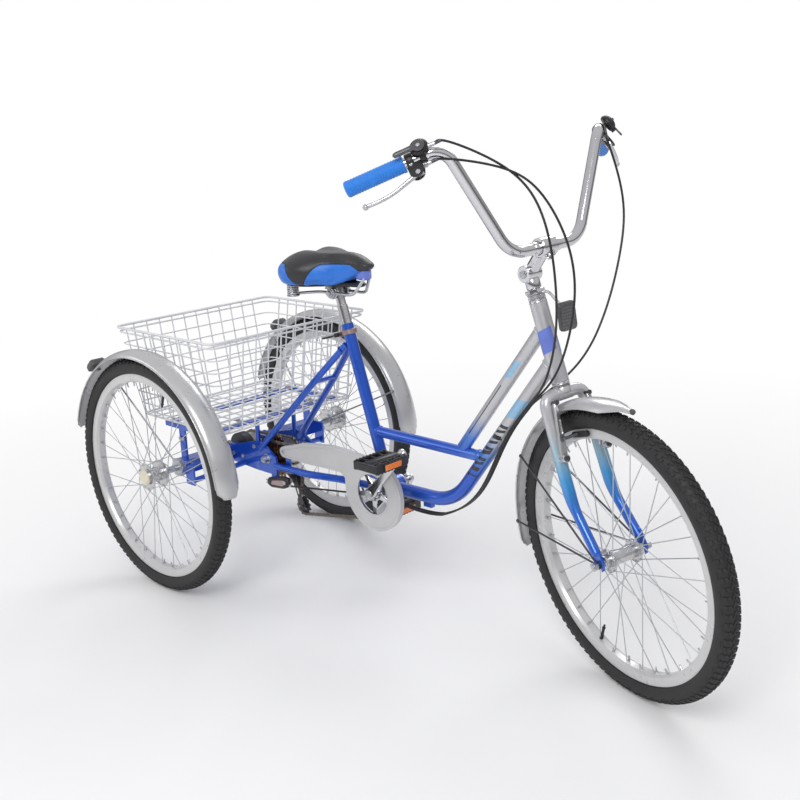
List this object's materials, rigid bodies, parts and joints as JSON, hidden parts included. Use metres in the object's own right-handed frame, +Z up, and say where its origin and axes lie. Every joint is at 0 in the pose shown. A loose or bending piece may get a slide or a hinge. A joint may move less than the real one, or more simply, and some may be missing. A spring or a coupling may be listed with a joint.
{
  "type": "adult tricycle",
  "caption": "Adult tricycle with one steered front wheel, a step-through frame, a wide wire basket between the rear wheels, mudguards, a chain drive with derailleur and a rim brake.",
  "frame": {"origin": "on the ground plane, midway between the rear tyres and straight below the rear axle", "axes": "+X forward, +Y to the rider's left, +Z up"},
  "size_m": [1.7677, 0.7062, 1.1254],
  "materials": {
    "frame_paint": "gloss",
    "silver_paint": "gloss",
    "white_wire": "gloss",
    "chrome": "polished",
    "steel": "satin",
    "aluminium": "satin",
    "rim_white": "satin",
    "tyre": "matte",
    "black_plastic": "satin",
    "grey_plastic": "satin",
    "dark_plastic": "satin",
    "ivory_plastic": "satin",
    "grip_rubber": "matte",
    "saddle_vinyl": "satin",
    "chain_steel": "satin",
    "pedal_plastic": "satin"
  },
  "bodies": {
    "frame": {"main_frame": "frame_paint", "frame_bearings": "steel", "seat_clamp": "aluminium", "basket": "white_wire", "rear_mudguards": "silver_paint", "rear_reflectors": "dark_plastic", "chain_guard": "grey_plastic", "chains": "chain_steel", "derailleur_body": "black_plastic", "band_brake": "black_plastic", "cables": "black_plastic"},
    "steering": {"fork": "silver_paint", "headset_nuts": "steel", "stem": "chrome", "handlebar": "chrome", "grips": "grip_rubber", "lever_brackets": "black_plastic", "shifter_pod": "black_plastic", "bell": "black_plastic", "front_reflector": "dark_plastic", "front_mudguard": "silver_paint", "front_axle": "steel"},
    "front_wheel": {"front_hub": "aluminium", "front_spokes": "steel", "front_rim": "rim_white", "front_tyre": "tyre"},
    "drive_axle": {"rear_axle": "steel", "axle_sprocket": "steel", "right_rear_hub": "aluminium", "right_rear_spokes": "steel", "right_rear_rim": "rim_white", "right_rear_tyre": "tyre", "right_hub_cap": "ivory_plastic"},
    "left_wheel": {"left_rear_hub": "aluminium", "left_rear_spokes": "steel", "left_rear_rim": "rim_white", "left_rear_tyre": "tyre", "left_hub_cap": "ivory_plastic"},
    "jackshaft": {"mid_hub": "steel"},
    "cassette": {"freewheel": "chain_steel"},
    "crankset": {"crank_spindle": "steel", "drive_crank": "chrome", "left_crank": "chrome"},
    "right_pedal_body": {"right_pedal": "pedal_plastic"},
    "left_pedal_body": {"left_pedal": "pedal_plastic"},
    "tension_arm": {"derailleur_cage": "steel"},
    "guide_wheel": {"guide_pulley": "black_plastic"},
    "tension_wheel": {"tension_pulley": "black_plastic"},
    "seat": {"seat_post": "chrome", "saddle_cover": "saddle_vinyl", "saddle_base": "black_plastic", "saddle_frame": "steel"},
    "seat_lever": {"seat_clamp_lever": "black_plastic"},
    "right_lever": {"right_brake_lever": "aluminium"},
    "left_lever": {"left_brake_lever": "aluminium"},
    "shift_paddle": {"shifter_lever": "black_plastic"},
    "striker": {"bell_striker": "black_plastic"},
    "right_arm": {"right_brake_arm": "aluminium"},
    "left_arm": {"left_brake_arm": "aluminium"}
  },
  "joints": [
    {"name": "steering", "type": "hinge", "parent": "frame", "child": "steering", "pos_m": [1.02229, 0, 0.61101], "axis": [-0.3223, 0, 0.9466], "range_deg": [-42, 78], "deforming": ["cables"]},
    {"name": "front_wheel_spin", "type": "hinge", "parent": "steering", "child": "front_wheel", "pos_m": [1.17008, -0.01282, 0.29935], "axis": [0.2925, 0.9511, 0.0996], "continuous": true},
    {"name": "rear_axle_spin", "type": "hinge", "parent": "frame", "child": "drive_axle", "pos_m": [0, 0, 0.3], "axis": [0, 1, 0], "continuous": true, "deforming": ["chains"]},
    {"name": "left_wheel_spin", "type": "hinge", "parent": "frame", "child": "left_wheel", "pos_m": [0, 0.304, 0.3], "axis": [0, 1, 0], "continuous": true},
    {"name": "jackshaft_spin", "type": "hinge", "parent": "frame", "child": "jackshaft", "pos_m": [0.155, 0, 0.31], "axis": [0, 1, 0], "continuous": true},
    {"name": "crank_spin", "type": "hinge", "parent": "frame", "child": "crankset", "pos_m": [0.528, 0, 0.298], "axis": [0, 1, 0], "continuous": true, "deforming": ["chains"]},
    {"name": "freewheel_spin", "type": "hinge", "parent": "frame", "child": "cassette", "pos_m": [0.155, 0, 0.31], "axis": [0, 1, 0], "continuous": true},
    {"name": "right_pedal_spin", "type": "hinge", "parent": "crankset", "child": "right_pedal_body", "pos_m": [0.64609, 0, 0.42029], "axis": [0, 1, 0], "continuous": true},
    {"name": "left_pedal_spin", "type": "hinge", "parent": "crankset", "child": "left_pedal_body", "pos_m": [0.40991, 0, 0.17571], "axis": [0, 1, 0], "continuous": true},
    {"name": "tension_arm_swing", "type": "hinge", "parent": "frame", "child": "tension_arm", "pos_m": [0.243, -0.047, 0.27], "axis": [0, 1, 0], "range_deg": [-10, 20], "deforming": ["chains"]},
    {"name": "guide_pulley_spin", "type": "hinge", "parent": "tension_arm", "child": "guide_wheel", "pos_m": [0.243, -0.047, 0.27], "axis": [0, 1, 0], "continuous": true},
    {"name": "tension_pulley_spin", "type": "hinge", "parent": "tension_arm", "child": "tension_wheel", "pos_m": [0.268, -0.047, 0.203], "axis": [0, 1, 0], "continuous": true},
    {"name": "seat_height", "type": "slide", "parent": "frame", "child": "seat", "axis": [-0.2957, 0, 0.9553], "range_m": [-0.05, 0.08]},
    {"name": "seat_lever_open", "type": "hinge", "parent": "frame", "child": "seat_lever", "pos_m": [0.39198, -0.018, 0.6495], "axis": [-0.2957, 0, 0.9553], "range_deg": [0, 150]},
    {"name": "right_lever_pull", "type": "hinge", "parent": "steering", "child": "right_lever", "pos_m": [0.90121, -0.26099, 1.04514], "axis": [-0.3636, 0.7324, -0.5757], "range_deg": [0, 14]},
    {"name": "left_lever_pull", "type": "hinge", "parent": "steering", "child": "left_lever", "pos_m": [0.96838, 0.24392, 1.06801], "axis": [0.5352, 0.558, 0.6342], "range_deg": [0, 14]},
    {"name": "shift_push", "type": "hinge", "parent": "steering", "child": "shift_paddle", "pos_m": [0.90027, -0.26072, 1.09472], "axis": [-0.3636, 0.7324, -0.5757], "range_deg": [-15, 25]},
    {"name": "bell_flick", "type": "hinge", "parent": "steering", "child": "striker", "pos_m": [0.98237, 0.24221, 1.09712], "axis": [0.5352, 0.558, 0.6342], "range_deg": [-15, 25]},
    {"name": "left_arm_close", "type": "hinge", "parent": "steering", "child": "left_arm", "pos_m": [1.08112, 0.04882, 0.49415], "axis": [0.9003, -0.309, 0.3065], "range_deg": [-8, 1.2]},
    {"name": "right_arm_close", "type": "hinge", "parent": "steering", "child": "right_arm", "pos_m": [1.05069, -0.05009, 0.48379], "axis": [0.9003, -0.309, 0.3065], "range_deg": [-1.2, 8]}
  ],
  "couplings": [
    {"joint": "jackshaft_spin", "follows": "rear_axle_spin", "ratio": 1},
    {"joint": "freewheel_spin", "follows": "crank_spin", "ratio": 1.7},
    {"joint": "guide_pulley_spin", "follows": "crank_spin", "ratio": -3.0909},
    {"joint": "tension_pulley_spin", "follows": "crank_spin", "ratio": 3.0909},
    {"joint": "right_arm_close", "follows": "left_arm_close", "ratio": -1}
  ]
}
